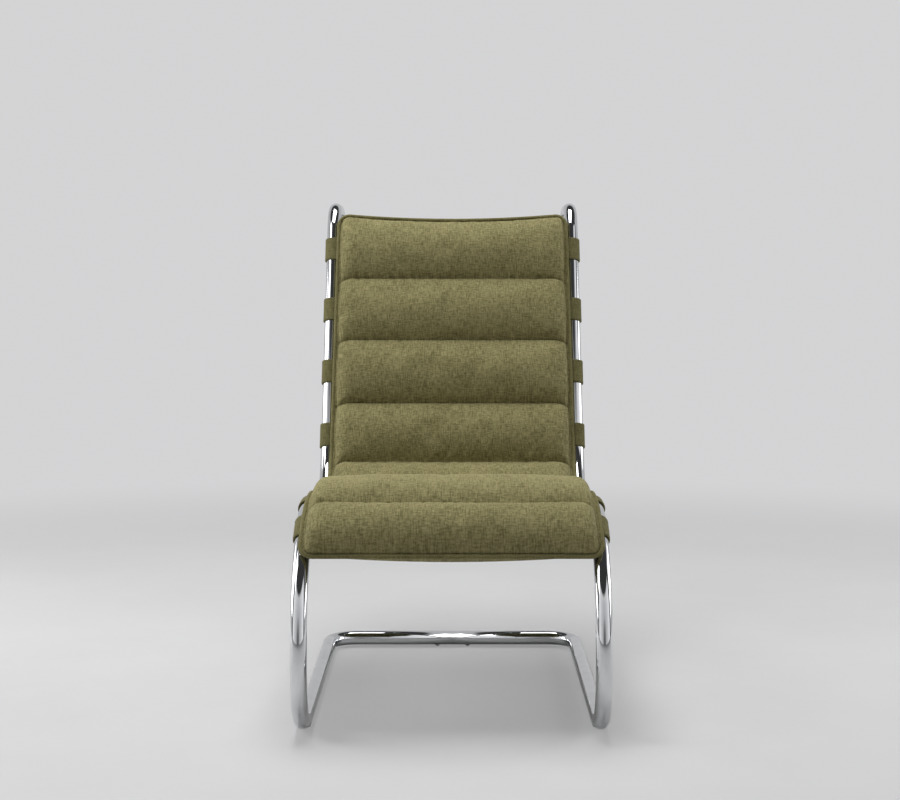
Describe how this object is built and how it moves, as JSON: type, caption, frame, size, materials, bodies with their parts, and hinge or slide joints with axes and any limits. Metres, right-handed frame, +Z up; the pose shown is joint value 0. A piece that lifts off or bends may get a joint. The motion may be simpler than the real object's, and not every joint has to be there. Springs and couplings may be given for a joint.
{
  "type": "cantilever lounge chair",
  "caption": "Armless cantilever lounge chair: bent chromed tube frame with looped head hooks, cross belts and a long channelled pad.",
  "frame": {"origin": "on the floor, under the middle of the chair's overall width and depth", "axes": "+Z up, -Y towards the front edge of the seat, +X towards the right side of a viewer in front"},
  "size_m": [0.4854, 0.9542, 0.834],
  "materials": {
    "tube_chrome": "polished chrome plate",
    "spigot_steel": "plain turned steel",
    "screw_steel": "bright zinc",
    "glide_plastic": "clear moulded plastic",
    "belt_cloth": "matt woven belt covered in the pad's cloth",
    "stud_metal": "satin nickel",
    "pad_cloth": "soft olive brushed cloth",
    "pad_stuffing": "white fibre wadding",
    "backing_cloth": "plain dark lining cloth",
    "welt_cloth": "piping in the pad's cloth"
  },
  "bodies": {
    "root": {"left_frame_tube": "tube_chrome", "right_frame_tube": "tube_chrome", "base_spigot": "spigot_steel", "top_spigot": "spigot_steel", "base_screws": "screw_steel", "top_screws": "screw_steel", "front_left_glide": "glide_plastic", "front_right_glide": "glide_plastic", "rear_left_glide": "glide_plastic", "rear_right_glide": "glide_plastic", "belt_1": "belt_cloth", "belt_2": "belt_cloth", "belt_3": "belt_cloth", "belt_4": "belt_cloth", "belt_5": "belt_cloth", "belt_6": "belt_cloth", "belt_7": "belt_cloth", "belt_8": "belt_cloth", "belt_9": "belt_cloth", "belt_studs": "stud_metal", "roll_cover_1": "pad_cloth", "roll_cover_2": "pad_cloth", "roll_cover_3": "pad_cloth", "roll_cover_4": "pad_cloth", "roll_cover_5": "pad_cloth", "roll_cover_6": "pad_cloth", "roll_cover_7": "pad_cloth", "roll_cover_8": "pad_cloth", "roll_cover_9": "pad_cloth", "roll_fill_1": "pad_stuffing", "roll_fill_2": "pad_stuffing", "roll_fill_3": "pad_stuffing", "roll_fill_4": "pad_stuffing", "roll_fill_5": "pad_stuffing", "roll_fill_6": "pad_stuffing", "roll_fill_7": "pad_stuffing", "roll_fill_8": "pad_stuffing", "roll_fill_9": "pad_stuffing", "pad_backing": "backing_cloth", "pad_welt": "welt_cloth"}
  },
  "joints": []
}
